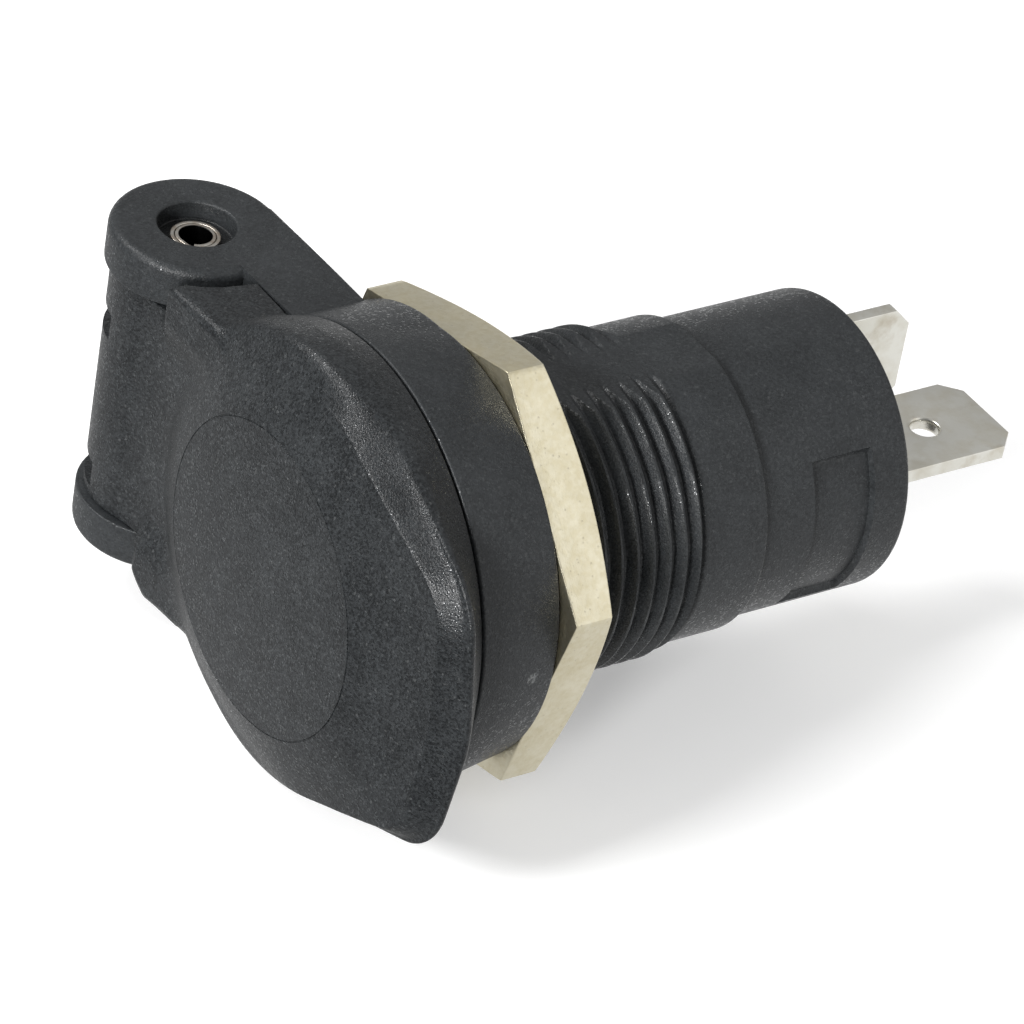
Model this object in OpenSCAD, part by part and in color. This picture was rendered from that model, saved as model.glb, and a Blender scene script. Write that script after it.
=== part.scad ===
// Panel-mounted 12 V power socket with a sprung, hinged lid.
// Origin: centre of the flange's rear seating face, on the socket axis.
// +Y runs along the axis towards the blades, -X is the hinge side, +Z runs along the hinge pin.

/* [Threaded barrel] */
// Outside diameter of the thread
thread_d = 18; // [17.6:0.1:18.4]
// Thread pitch
pitch = 1.0; // [0.9:0.05:1.2]
// Depth of the thread form
thread_depth = 0.58; // [0.4:0.02:0.62]
// Distance from the seating face to the end of the thread
thread_end = 10.8; // [9.5:0.1:12]
// Width across the two anti-turn flats
flats_w = 16.7; // [16.4:0.1:17.2]
// Diameter of the plain collar behind the thread
collar_d = 17.2; // [17.0:0.1:17.4]
// Distance from the seating face to the end of the plain collar
collar_end = 15.3; // [14.5:0.1:16.5]
// Diameter of the rear body
rear_d = 16.4; // [16.2:0.1:16.6]
// Distance from the seating face to the rear end of the body
body_len = 24.8; // [24.4:0.1:28]
// Rounding of the rear rim
rim_round = 0.6; // [0.3:0.1:0.8]

/* [Marking recess] */
// Length of the shallow recess along the axis
recess_len = 3.8; // [2:0.1:4.5]
// Depth of the recess
recess_depth = 0.35; // [0.2:0.05:0.4]
// Distance from the rear end to the recess
recess_from_end = 2.4; // [1.5:0.1:3]
// Angle the recess covers around the body
recess_angle = 70; // [40:5:90]

/* [Flange] */
// Diameter of the flange at the seating face
flange_rear_d = 23.7; // [23:0.1:24.5]
// Diameter of the flange under the lid
flange_front_d = 25.2; // [24.8:0.1:26]
// Thickness of the flange
flange_t = 5.1; // [4.6:0.1:5.6]
// How far the flange's rear edge swells towards the hinge
flange_swell = 1.6; // [1.2:0.1:1.8]

/* [Hinge] */
// Distance from the socket axis to the hinge axis
hinge_x = 17.4; // [17.2:0.1:18.4]
// Distance from the seating face forward to the hinge axis
hinge_y = 5.4; // [5.2:0.1:5.6]
// Outside radius of the two ears
ear_r = 4.65; // [4.5:0.05:4.75]
// Distance over the outside faces of the ears
ears_w = 19.4; // [18.8:0.1:20.2]
// Thickness of each ear
ear_t = 2.4; // [2.0:0.1:2.8]
// Rounding of each ear's outer edge
ear_round = 0.7; // [0.3:0.1:0.9]
// Diameter of the coiled hinge pin
pin_d = 2.7; // [2.5:0.1:2.8]
// Wall of one layer of the coiled pin
pin_wall = 0.22; // [0.15:0.01:0.25]
// Depth from the ear's face to the end of the pin
pin_recess = 0.7; // [0.5:0.1:0.9]
// Diameter of the counterbore around the pin
counterbore_d = 4.2; // [3.8:0.1:4.6]
// Depth of the counterbore
counterbore_depth = 1.1; // [0.9:0.1:1.3]
// Radius of the lid's knuckle
knuckle_r = 4.25; // [4.1:0.05:4.3]
// Gap between the knuckle and each ear
knuckle_gap = 0.12; // [0.08:0.02:0.2]
// Running clearance of the lid on the pin, on the radius
pin_clear = 0.05; // [0.03:0.01:0.08]

/* [Lid] */
// Gap between the lid and the flange
seam_gap = 0.16; // [0.1:0.02:0.25]
// Radius of the round part of the lid at its widest
lid_r = 13; // [12.8:0.1:13.4]
// Distance from the socket axis to the end of the thumb tab
tab_reach = 15.8; // [15:0.1:16.5]
// Radius of the thumb tab's two corners
tab_corner_r = 4.6; // [4:0.1:5]
// Distance from the seating face forward to the lid's widest edge
lip_y = 7.7; // [7.4:0.1:8]
// Thickness of the lid's widest edge
lip_t = 0.5; // [0.3:0.1:0.7]
// Distance from the seating face forward to the outer shoulder
shoulder_y = 9.2; // [9.0:0.1:9.4]
// Width of the bevel from the edge in to the shoulder
shoulder_w = 1.8; // [1.4:0.1:2.2]
// Radius of the fine ring engraved in the lid
ring_r = 8.5; // [8:0.1:9]
// Distance from the seating face forward to the engraved ring
ring_y = 10.6; // [10.4:0.1:10.8]
// Rise of the crowned centre above the ring
crown = 0.35; // [0.2:0.05:0.5]
// Wall of the lid
lid_wall = 1.6; // [1.3:0.1:1.8]
// Thickness of the plate between the knuckle and the dome, in front of the seam
plate_y = 9.5; // [9.3:0.1:9.7]
// Clearance between the lid and the round of each ear
ear_clear = 1.3; // [1.2:0.1:1.5]
// Width of each spring window in the knuckle
window_w = 1.5; // [1.2:0.1:1.8]

/* [Nut] */
// How far each flat of the nut lies outside the middle between the thread and the flange's edge
nut_step = 0.7; // [0.4:0.1:1]
// Thickness of the nut
nut_t = 2.9; // [2.4:0.1:3.4]
// Turn of the nut about the axis
nut_turn = -73.4; // [-90:0.1:-60]
// Clearance of the nut on the thread, on the radius
nut_clear = 0.05; // [0.03:0.01:0.1]

/* [Socket] */
// Inside diameter of the contact sleeve
bore_d = 12.1; // [12:0.05:12.3]
// Wall of the contact sleeve
sleeve_wall = 0.5; // [0.45:0.05:0.6]
// Length of the slots that make the sleeve's spring fingers
finger_slot_len = 9; // [7:0.5:11]
// Width of those slots
finger_slot_w = 0.8; // [0.6:0.1:1]
// Distance from the seating face to the head of the centre contact
contact_y = 15.4; // [15:0.1:15.6]
// Travel of the centre contact
contact_travel = 1; // [0.7:0.1:1.1]
// Diameter of the centre contact's head
contact_d = 6; // [5:0.1:6.6]
// Diameter of the centre contact's stem
stem_d = 3.2; // [2.8:0.1:3.4]

/* [Blades] */
// Width of each blade
blade_w = 6.3; // [6.2:0.1:6.4]
// Thickness of each blade
blade_t = 0.8; // [0.7:0.05:0.85]
// Chamfer at each blade's corners
blade_chamfer = 1.05; // [0.8:0.05:1.2]
// Diameter of the catch hole in each blade
blade_hole_d = 1.6; // [1.4:0.1:2]
// Distance from a blade's tip to its hole
blade_hole_from_tip = 4.2; // [3.8:0.1:4.8]
// Distance from the seating face to the centre blade's tip
centre_tip = 34.7; // [34:0.1:36]
// Distance from the seating face to the ground blade's tip
ground_tip = 33.9; // [33:0.1:35]
// Distance from the socket axis to the ground blade's middle
ground_x = 5.2; // [5.1:0.05:5.3]
// Sideways shift of the centre blade
centre_shift = 1.9; // [1.2:0.1:2]

/* [Hidden] */

$fn = 96;
eps = 0.02;
past = 1; // how far a cutter runs past a face
slide_fit = 0.05;
press_gap = 0.02;
black = [0.09, 0.09, 0.1];
nickel = [0.78, 0.76, 0.7];
wire_grey = [0.6, 0.6, 0.62];
brass = [0.72, 0.55, 0.28];

// Barrel and rear body
thread_r = thread_d / 2;
root_r = thread_r - thread_depth;
collar_r = collar_d / 2;
rear_r = rear_d / 2;
thread_relief = 1.5; // plain part between the seating face and the first ridge
thread_count = floor((thread_end - thread_relief) / pitch);
edge = 0.2;
inset = 0.5; // how far the barrel and the body run into the flange
recess_skew = 3;

// Hinge
pin_r = pin_d / 2;
ear_out = ears_w / 2;
ear_in = ear_out - ear_t;
knuckle_half = ear_in - knuckle_gap;
pin_half = ear_out - pin_recess;
arm_rear = hinge_y - ear_r;
lid_rear = flange_t + seam_gap;
knuckle_bore_r = pin_r + pin_clear;
root_x = 6; // where the arms and the plate end, inside the round body
chamber_r = 2.5;
low_window_inset = 1.4;
high_window_inset = 3.5;
window_low = low_window_inset - knuckle_half;
window_high = knuckle_half - high_window_inset;
window_front = 0.62 * knuckle_r;
spring_wire = 0.4;

// Lid
tab_nose_r = 8;
tab_bow = 0.8; // how far the tab's tip stands past its two corners
tab_corner_x = tab_reach - tab_corner_r - tab_bow;
lip_bevel = 0.45;
lip_rise = 0.36;
foot_t = 0.2;
groove_half = 0.05;
groove_depth = 0.06;

// Nut
nut_flat_r = (thread_r + flange_front_d / 2) / 2 + nut_step;
nut_r = nut_flat_r / cos(30);
nut_face_r = nut_flat_r - edge;
nut_bevel = 0.37 * (nut_r - nut_face_r);

// Contact sleeve and the bore that holds it
sleeve_in = bore_d / 2;
sleeve_out = sleeve_in + sleeve_wall;
ring_wire = 0.45;
ring_room = 0.15;
ring_setback = 2.5;
housing_bore_r = sleeve_out + ring_wire + ring_room;
rib_count = 6;
rib_w = 1.2;
front_lip_t = 0.8;
front_lip_r = sleeve_in + sleeve_wall / 2;
front_chamfer = 0.6;
sleeve_front = -flange_t + front_lip_t + slide_fit;
ring_at = sleeve_front + ring_setback;

// Rear cap
cap_t = 1.6;
cap_recess = 0.4;
cap_front = body_len - cap_recess - cap_t;
cap_seat = 0.3;
cap_r = housing_bore_r + cap_seat;
tail_gap = 0.25; // from the parts in front of the cap to the cap

// Centre contact, its bush and the carrier, from front to rear
head_t = 1.2;
touch_gap = 0.1;
bush_front = contact_y + head_t + contact_travel + touch_gap;
bush_flange_r = 3.3;
bush_flange_t = 0.5;
bush_r = 2.35;
bush_bore_r = stem_d / 2 + slide_fit;
stem_guide = 1.2;
stem_end = bush_front + stem_guide;
coil_wire = 0.3;
coil_room = 0.9;
bush_bore_end = stem_end + contact_travel + coil_room;
blade_root = bush_bore_end + edge;
bush_rear = cap_front - tail_gap;
tail_rivet_r = 0.6;
tail_rivet_y = (blade_root + bush_rear + edge) / 2;
carrier_front = bush_front + bush_flange_t;
carrier_t = 2.4;
sleeve_step = 0.5; // how far the sleeve widens to hold the carrier
seat_gap = 0.15;
widen_y = contact_y - seat_gap;
seat_in = sleeve_in + sleeve_step;
seat_out = sleeve_out + sleeve_step;
carrier_r = seat_in - slide_fit;
carrier_hold = 0.6;
sleeve_rear = carrier_front + carrier_hold;

// Ground blade and its rivet
lug_w = 4.6;
lug_rear = cap_front - tail_gap;
ground_out = ground_x + blade_t / 2;
ground_root = sleeve_rear + touch_gap;
rivet_r = 0.8;
rivet_y = (ground_root + lug_rear) / 2;
rivet_head_r = 1.35;
rivet_head_t = 0.35;

// Seal
seal_r = 8.2;
seal_w = 1.2;
seal_t = 1.2;

module along_y(from, to, r, r_end = -1) {
    translate([0, from, 0]) rotate([-90, 0, 0])
        cylinder(h = to - from, r1 = r, r2 = r_end < 0 ? r : r_end);
}

module revolved(points) {
    rotate([90, 0, 0]) rotate_extrude() polygon(points);
}

module at_hinge() {
    translate([-hinge_x, -hinge_y, 0]) children();
}

// One ear: a rounded disc about the hinge axis with its arm running into the flange.
module ear() {
    outline = [[0, 0], [ear_r, 0], [ear_r, ear_t - ear_round],
               for (a = [0 : 15 : 90])
                   [ear_r - ear_round + ear_round * cos(a), ear_t - ear_round + ear_round * sin(a)],
               [0, ear_t]];
    translate([0, 0, ear_in]) {
        at_hinge() rotate_extrude() polygon(outline);
        difference() {
            translate([-hinge_x, -flange_t, 0]) cube([hinge_x - root_x, flange_t - arm_rear, ear_t]);
            translate([-hinge_x - past, -arm_rear, ear_t]) rotate([45, 0, 0])
                cube([hinge_x, ear_round, ear_round]);
        }
    }
}

module both_ears() {
    ear();
    mirror([0, 0, 1]) ear();
}

// Thread crests as a profile revolved about the axis, so that each crest is a true ring.
module threaded_barrel() {
    first = thread_end - thread_count * pitch;
    half_crest = 1 / 16;
    relief_r = (root_r + thread_r) / 2;
    points = [[0, -inset], [relief_r, -inset], [relief_r, first - pitch / 2],
              for (i = [0 : thread_count - 1],
                   p = [[root_r, 0], [thread_r, 0.5 - half_crest], [thread_r, 0.5 + half_crest]])
                  [p[0], first + (i + p[1]) * pitch],
              [root_r, thread_end], [collar_r - edge, thread_end + edge],
              [collar_r, thread_end + 2 * edge], [collar_r, collar_end - edge],
              [collar_r - edge, collar_end], [0, collar_end]];
    intersection() {
        rotate([-90, 0, 0]) rotate_extrude() polygon(points);
        translate([-thread_d, -past, -flats_w / 2])
            cube([2 * thread_d, collar_end + 2 * past, flats_w]);
    }
}

module rear_body() {
    rounded = [for (a = [0 : 15 : 90])
        [rear_r - rim_round + rim_round * cos(a), body_len - rim_round + rim_round * sin(a)]];
    rotate([-90, 0, 0]) rotate_extrude()
        polygon(concat([[0, -inset], [rear_r, -inset]], rounded, [[0, body_len]]));
}

// Shallow recess for a moulded marking, left bare.
module marking_recess() {
    back = body_len - recess_from_end;
    rotate([-90, 0, 0]) translate([0, 0, back - recess_len])
        rotate([0, 0, recess_skew - recess_angle / 2]) rotate_extrude(angle = recess_angle)
            translate([rear_r - recess_depth, 0]) square([recess_depth + past, recess_len]);
}

// Straight bore with ribs that hold the contact sleeve, clear of the clamp ring.
module sleeve_bore() {
    difference() {
        along_y(sleeve_front - slide_fit, body_len + past, housing_bore_r);
        for (i = [0 : rib_count - 1]) rotate([0, 360 * (i + 0.5) / rib_count, 0])
            translate([sleeve_out + slide_fit, ring_at + 3 * ring_wire, -rib_w / 2])
                cube([sleeve_out, widen_y - sleeve_wall - slide_fit - ring_at - 3 * ring_wire, rib_w]);
    }
}

module housing() {
    color(black) difference() {
        union() {
            along_y(-flange_t, 0, flange_front_d / 2, flange_rear_d / 2);
            translate([-flange_swell, 0, 0])
                along_y(-flange_t, 0, flange_front_d / 2 - flange_swell, flange_rear_d / 2 - edge);
            threaded_barrel();
            rear_body();
            both_ears();
        }
        along_y(-flange_t - past, sleeve_front, front_lip_r);
        along_y(-flange_t, -flange_t + front_chamfer, front_lip_r + front_chamfer, front_lip_r);
        sleeve_bore();
        along_y(cap_front, body_len + past, cap_r + press_gap);
        marking_recess();
        at_hinge() cylinder(h = 3 * ears_w, r = pin_r + press_gap, center = true);
        at_hinge() for (side = [-1, 1])
            translate([0, 0, side * (ear_out + counterbore_depth)])
                cylinder(h = 4 * counterbore_depth, r = counterbore_d / 2, center = true);
    }
}

// Teardrop outline of the lid, drawn in by an inset and laid at a distance in front of the seat.
module lid_slice(y, drawn_in, t) {
    translate([0, -y, 0]) rotate([90, 0, 0]) {
        cylinder(h = t, r = lid_r - drawn_in, $fn = 72);
        for (side = [-1, 1]) translate([tab_corner_x, side * tab_corner_r, 0])
            cylinder(h = t, r = tab_corner_r - drawn_in, $fn = 40);
        translate([tab_reach - tab_nose_r, 0, 0]) cylinder(h = t, r = tab_nose_r - drawn_in, $fn = 56);
    }
}

module lid_dome() {
    hull() {
        translate([0, -lid_rear, 0]) rotate([90, 0, 0])
            cylinder(h = foot_t, r = flange_front_d / 2 + eps, $fn = 72);
        lid_slice(lip_y, 0, lip_t);
        lid_slice(lip_y + lip_t + lip_rise, lip_bevel, eps);
        lid_slice(shoulder_y - eps, shoulder_w, eps);
        translate([0, -ring_y + eps, 0]) rotate([90, 0, 0]) cylinder(h = eps, r = ring_r, $fn = 72);
    }
}

// Low crown inside the engraved ring, cut from a large sphere's profile.
module lid_crown() {
    big_r = (ring_r * ring_r + crown * crown) / (2 * crown);
    steps = 12;
    half = asin(ring_r / big_r);
    revolved(concat([[0, ring_y - past], [ring_r, ring_y - past]],
                    [for (i = [0 : steps]) let (a = half * (1 - i / steps))
                        [big_r * sin(a), ring_y + crown - big_r + big_r * cos(a)]]));
}

module lid_knuckle() {
    at_hinge() cylinder(h = 2 * knuckle_half, r = knuckle_r, center = true);
}

// Plate that joins the knuckle to the dome and covers the front of both ears.
module lid_plate() {
    depth = plate_y - lid_rear;
    translate([-hinge_x, -plate_y, -knuckle_half])
        cube([hinge_x - root_x, depth, 2 * knuckle_half]);
    translate([-hinge_x + ear_r, -plate_y, -ear_out])
        cube([hinge_x - ear_r - root_x, depth, 2 * ear_out]);
}

module lid() {
    color(black) difference() {
        union() {
            lid_dome();
            lid_crown();
            lid_plate();
            lid_knuckle();
        }
        // room for the round of each ear
        at_hinge() for (side = [-1, 1])
            translate([0, 0, side * (knuckle_half + ear_t)])
                cylinder(h = 2 * ear_t, r = ear_r + ear_clear, center = true);
        // hollow under the dome
        along_y(-ring_y + lid_wall, -lid_rear + past, seal_r - seal_w);
        // groove for the seal
        along_y(-lid_rear - seal_t, -lid_rear + past, seal_r + press_gap);
        // engraved ring
        revolved([[ring_r - groove_half, ring_y - groove_depth], [ring_r + groove_half, ring_y - groove_depth],
                  [ring_r + groove_half, ring_y + past], [ring_r - groove_half, ring_y + past]]);
        at_hinge() {
            cylinder(h = 3 * ears_w, r = knuckle_bore_r, center = true);
            // spring chamber, open to the rear
            translate([0, 0, window_low - window_w / 2])
                cylinder(h = window_high - window_low + window_w, r = chamber_r);
            translate([-chamber_r, 0, window_low - window_w / 2])
                cube([2 * chamber_r, 2 * knuckle_r, window_high - window_low + window_w]);
            // the two windows at the back of the knuckle
            for (z = [window_low, window_high])
                translate([-2 * knuckle_r, -window_front, z - window_w / 2])
                    cube([2 * knuckle_r, 2 * knuckle_r, window_w]);
        }
    }
}

module lid_seal() {
    color([0.05, 0.05, 0.05]) difference() {
        along_y(-lid_rear - seal_t + press_gap, -flange_t, seal_r);
        along_y(-lid_rear - seal_t - past, 0, seal_r - seal_w);
    }
}

// Coiled pin: two rolled layers joined at one seam, hollow in the middle.
module hinge_pin() {
    layer_gap = 0.03;
    mid_out = pin_r - pin_wall;
    mid_in = mid_out - layer_gap;
    color([0.5, 0.45, 0.4]) at_hinge() difference() {
        cylinder(h = 2 * pin_half, r = pin_r, center = true);
        cylinder(h = 3 * pin_half, r = mid_in - pin_wall, center = true);
        difference() {
            cylinder(h = 3 * pin_half, r = mid_out, center = true);
            cylinder(h = 4 * pin_half, r = mid_in, center = true);
            translate([0, -pin_wall, -2 * pin_half]) cube([pin_r, 2 * pin_wall, 4 * pin_half]);
        }
        rotate([0, 0, 100]) translate([mid_in + layer_gap / 2, -layer_gap, -2 * pin_half])
            cube([2 * pin_wall, 2 * layer_gap, 4 * pin_half]);
    }
}

// Wire swept along a helix about Z, with its ends cut square.
module coil(r, wire_r, length, turns, sides = 6, per_turn = 16) {
    rings = ceil(turns * per_turn);
    tilt = atan2(length, 2 * PI * r * turns);
    points = [for (i = [0 : rings]) let (a = 360 * turns * i / rings, z = length * i / rings)
        for (k = [0 : sides - 1]) let (b = 360 * k / sides, u = wire_r * cos(b), v = wire_r * sin(b))
            [(r + u) * cos(a) + v * sin(tilt) * sin(a),
             (r + u) * sin(a) - v * sin(tilt) * cos(a),
             z + v * cos(tilt)]];
    faces = concat([[for (k = [0 : sides - 1]) k]],
        [for (i = [0 : rings - 1], k = [0 : sides - 1])
            let (n = (k + 1) % sides, b = i * sides, t = b + sides)
            each [[b + k, t + n, b + n], [b + k, t + k, t + n]]],
        [[for (k = [sides - 1 : -1 : 0]) rings * sides + k]]);
    polyhedron(points, faces);
}

module lid_spring() {
    end_gap = 0.3;
    color(wire_grey) at_hinge() translate([0, 0, window_low + end_gap])
        coil(pin_r + spring_wire, spring_wire / 2, window_high - window_low - 2 * end_gap, 9.5);
}

module panel_nut() {
    color(nickel) difference() {
        intersection() {
            translate([0, eps, 0]) rotate([-90, 0, 0]) rotate([0, 0, nut_turn])
                cylinder(h = nut_t, r = nut_r, $fn = 6);
            rotate([-90, 0, 0]) rotate_extrude()
                polygon([[0, 0], [nut_r + eps, 0], [nut_r + eps, nut_t - nut_bevel],
                         [nut_face_r, nut_t + eps], [0, nut_t + eps]]);
        }
        along_y(-past, nut_t + past, thread_r + nut_clear);
    }
}

module rivet_hole() {
    translate([-ground_x, rivet_y, 0]) rotate([0, 90, 0])
        cylinder(h = 4 * blade_t, r = rivet_r + press_gap, center = true);
}

module contact_sleeve() {
    color(nickel) {
        difference() {
            union() {
                along_y(sleeve_front, sleeve_rear, sleeve_out);
                along_y(widen_y - sleeve_wall, sleeve_rear, seat_out);
            }
            along_y(sleeve_front - past, sleeve_rear + past, sleeve_in);
            along_y(widen_y, sleeve_rear + past, seat_in);
            for (a = [45 : 90 : 315]) rotate([0, a, 0])
                translate([0, sleeve_front - past, -finger_slot_w / 2])
                    cube([2 * sleeve_out, finger_slot_len + past, finger_slot_w]);
        }
        // flat lug for the ground blade, on a foot bent in from the sleeve's rear edge
        difference() {
            translate([-ground_out - sleeve_wall, sleeve_rear - sleeve_wall, -lug_w / 2])
                cube([sleeve_wall, lug_rear - sleeve_rear + sleeve_wall, lug_w]);
            rivet_hole();
        }
        intersection() {
            translate([-seat_out, sleeve_rear - sleeve_wall, -lug_w / 2])
                cube([seat_out - ground_out, sleeve_wall, lug_w]);
            along_y(0, sleeve_rear, seat_out);
        }
    }
}

// Open spring ring that squeezes the sleeve's fingers.
module clamp_ring() {
    opening = 1.2;
    color(wire_grey) difference() {
        rotate([-90, 0, 0]) rotate_extrude() translate([sleeve_out + press_gap, ring_at])
            square([ring_wire, 2 * ring_wire]);
        translate([0, ring_at - ring_wire, -opening / 2])
            cube([2 * sleeve_out, 4 * ring_wire, opening]);
    }
}

// Flat push-on blade in the XY plane, its tip at the given distance and its middle on X = 0.
module blade(from, tip) {
    half = blade_w / 2;
    translate([0, 0, -blade_t / 2]) difference() {
        linear_extrude(blade_t) polygon([[-half, from], [half, from], [half, tip - blade_chamfer],
            [half - blade_chamfer, tip], [-half + blade_chamfer, tip], [-half, tip - blade_chamfer]]);
        translate([0, tip - blade_hole_from_tip, -past])
            cylinder(h = blade_t + 2 * past, r = blade_hole_d / 2);
    }
}

module ground_blade() {
    color(nickel) difference() {
        translate([-ground_x, 0, 0]) rotate([0, 90, 0]) blade(ground_root, ground_tip);
        rivet_hole();
    }
}

module ground_rivet() {
    stack = sleeve_wall + blade_t;
    color(nickel) translate([-ground_out - sleeve_wall, rivet_y, 0]) rotate([0, 90, 0]) {
        translate([0, 0, -rivet_head_t]) cylinder(h = rivet_head_t, r = rivet_head_r);
        cylinder(h = stack, r = rivet_r);
        translate([0, 0, stack]) cylinder(h = rivet_head_t, r = rivet_head_r);
    }
}

// Insulating disc, cut flat beside the ground blade.
module contact_carrier() {
    flat_at = ground_x - blade_t / 2 - rivet_head_t - touch_gap;
    color([0.32, 0.2, 0.1]) difference() {
        along_y(carrier_front, carrier_front + carrier_t, carrier_r);
        along_y(carrier_front - past, carrier_front + carrier_t + past, bush_r + press_gap);
        translate([-flat_at - carrier_r, 0, -carrier_r]) cube([carrier_r, body_len, 2 * carrier_r]);
    }
}

module tail_rivet_hole() {
    translate([0, tail_rivet_y, 0])
        cylinder(h = 4 * bush_r, r = tail_rivet_r + press_gap, center = true);
}

// Turned bush: guides the centre contact in front and holds its blade in the slotted tail.
module contact_bush() {
    slot = blade_t + 2 * press_gap;
    color(brass) difference() {
        union() {
            along_y(bush_front, carrier_front, bush_flange_r);
            along_y(carrier_front, bush_rear, bush_r);
        }
        along_y(bush_front - past, bush_bore_end, bush_bore_r);
        translate([-2 * bush_r, blade_root - press_gap, -slot / 2])
            cube([4 * bush_r, body_len, slot]);
        tail_rivet_hole();
    }
}

module centre_contact() {
    nose = 0.5;
    color(nickel) {
        along_y(contact_y, contact_y + nose, contact_d / 2 - nose, contact_d / 2);
        along_y(contact_y + nose, contact_y + head_t, contact_d / 2);
        along_y(contact_y + head_t, stem_end, stem_d / 2);
    }
}

module contact_spring() {
    coil_len = bush_bore_end - stem_end - coil_wire - 2 * slide_fit;
    color(wire_grey) translate([0, stem_end + slide_fit + coil_wire / 2, 0]) rotate([-90, 0, 0])
        coil(stem_d / 2 - coil_wire, coil_wire / 2, coil_len, 3);
}

module centre_blade() {
    color(nickel) difference() {
        translate([centre_shift, 0, 0]) blade(blade_root, centre_tip);
        tail_rivet_hole();
    }
}

module blade_rivet() {
    color(brass) translate([0, tail_rivet_y, 0])
        cylinder(h = 2 * bush_r - 2 * edge, r = tail_rivet_r, center = true);
}

module rear_cap() {
    slot_gap = 0.15;
    color(black) difference() {
        along_y(cap_front + press_gap, cap_front + cap_t, cap_r);
        translate([centre_shift, cap_front, 0])
            cube([blade_w + 2 * slot_gap, 3 * cap_t, blade_t + 2 * slot_gap], center = true);
        translate([-ground_x, cap_front, 0])
            cube([blade_t + 2 * slot_gap, 3 * cap_t, blade_w + 2 * slot_gap], center = true);
    }
}

housing();
lid();
lid_seal();
hinge_pin();
lid_spring();
panel_nut();
contact_sleeve();
clamp_ring();
ground_blade();
ground_rivet();
contact_carrier();
contact_bush();
centre_contact();
contact_spring();
centre_blade();
blade_rivet();
rear_cap();
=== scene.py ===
import math
import bmesh
import bpy
import numpy as np
from mathutils import Matrix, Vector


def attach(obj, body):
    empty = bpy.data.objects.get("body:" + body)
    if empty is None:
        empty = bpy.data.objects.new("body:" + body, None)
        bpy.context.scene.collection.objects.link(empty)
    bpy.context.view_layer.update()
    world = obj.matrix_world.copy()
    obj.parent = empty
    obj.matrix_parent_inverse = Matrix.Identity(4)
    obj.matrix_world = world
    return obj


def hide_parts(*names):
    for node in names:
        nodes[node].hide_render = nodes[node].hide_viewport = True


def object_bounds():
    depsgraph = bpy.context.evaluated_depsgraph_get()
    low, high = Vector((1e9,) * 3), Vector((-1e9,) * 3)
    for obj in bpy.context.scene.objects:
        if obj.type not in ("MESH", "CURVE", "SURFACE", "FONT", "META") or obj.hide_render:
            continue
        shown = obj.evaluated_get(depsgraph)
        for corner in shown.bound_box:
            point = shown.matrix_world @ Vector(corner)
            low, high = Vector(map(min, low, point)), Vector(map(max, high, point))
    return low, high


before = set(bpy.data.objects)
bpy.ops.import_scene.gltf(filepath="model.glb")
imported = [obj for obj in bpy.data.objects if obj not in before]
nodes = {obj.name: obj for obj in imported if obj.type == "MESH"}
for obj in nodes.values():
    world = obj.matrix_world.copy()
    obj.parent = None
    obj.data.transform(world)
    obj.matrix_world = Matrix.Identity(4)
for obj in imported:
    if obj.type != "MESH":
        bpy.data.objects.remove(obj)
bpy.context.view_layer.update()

mm = 0.001
print("frame loaded:", len(nodes), "nodes")

# camera first
cameraLook = {
    "place": (197.95, -152.53, 177.09),  # mm, in the row frame
    "right": (0.5336, 0.8333, 0.1443),
    "up": (-0.5513, 0.2134, 0.8066),
    "back": (0.6413, -0.5100, 0.5733),
    "lens": 207.6,
}
cameraData = bpy.data.cameras.new("camera")
cameraData.lens = cameraLook["lens"]
cameraData.sensor_width = 36.0
cameraData.clip_start = 0.01
cameraData.clip_end = 10.0
cameraData.dof.use_dof = False
camera = bpy.data.objects.new("camera", cameraData)
bpy.context.scene.collection.objects.link(camera)
bpy.context.scene.camera = camera
columns = [cameraLook[key] for key in ("right", "up", "back")]
turn = Matrix([[columns[c][r] for c in range(3)] for r in range(3)]).to_4x4()
camera.matrix_world = Matrix.Translation([value * mm for value in cameraLook["place"]]) @ turn
print("camera set")


# shader values: sums and products of wires become Math nodes
class Wire:
    def __init__(self, finish, socket):
        self.finish = finish
        self.socket = socket

    def sum(self, operation, first, second):
        return self.finish.node("Math", {"operation": operation}, {0: first, 1: second})

    def __add__(self, other):
        return self.sum("ADD", self, other)

    def __sub__(self, other):
        return self.sum("SUBTRACT", self, other)

    def __rsub__(self, other):
        return self.sum("SUBTRACT", other, self)

    def __mul__(self, other):
        return self.sum("MULTIPLY", self, other)

    def __pow__(self, other):
        return self.sum("POWER", self, other)

    __radd__ = __add__
    __rmul__ = __mul__


class Graph:  # the node tree of a material or of the world
    def __init__(self, owner, kind):
        owner.use_nodes = True
        self.tree = owner.node_tree
        self.tree.nodes.clear()
        self.output = self.tree.nodes.new("ShaderNodeOutput" + kind)

    def feed(self, node, sockets):
        for key, value in sockets.items():
            if isinstance(value, Wire):
                self.tree.links.new(value.socket, node.inputs[key])
            else:
                node.inputs[key].default_value = value

    def node(self, kind, settings, sockets, out=0):
        node = self.tree.nodes.new("ShaderNode" + kind)
        for key, value in settings.items():
            if key == "stops":
                while len(node.color_ramp.elements) < len(value):
                    node.color_ramp.elements.new(0.5)
                for element, (position, level) in zip(node.color_ramp.elements, value):
                    element.position = position
                    element.color = (level, level, level, 1)
            else:
                setattr(node, key, value)
        self.feed(node, sockets)
        return Wire(self, node.outputs[out])

    def rays(self):  # whether the camera looks, and whether a mirror does
        paths = self.tree.nodes.new("ShaderNodeLightPath")
        return (Wire(self, paths.outputs[name]) for name in ("Is Camera Ray", "Is Glossy Ray"))

    def step(self, value, start, end, low=0.0, high=1.0):
        return self.node("MapRange", {"interpolation_type": "SMOOTHSTEP"},
                         {0: value, 1: start, 2: end, 3: low, 4: high})


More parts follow.
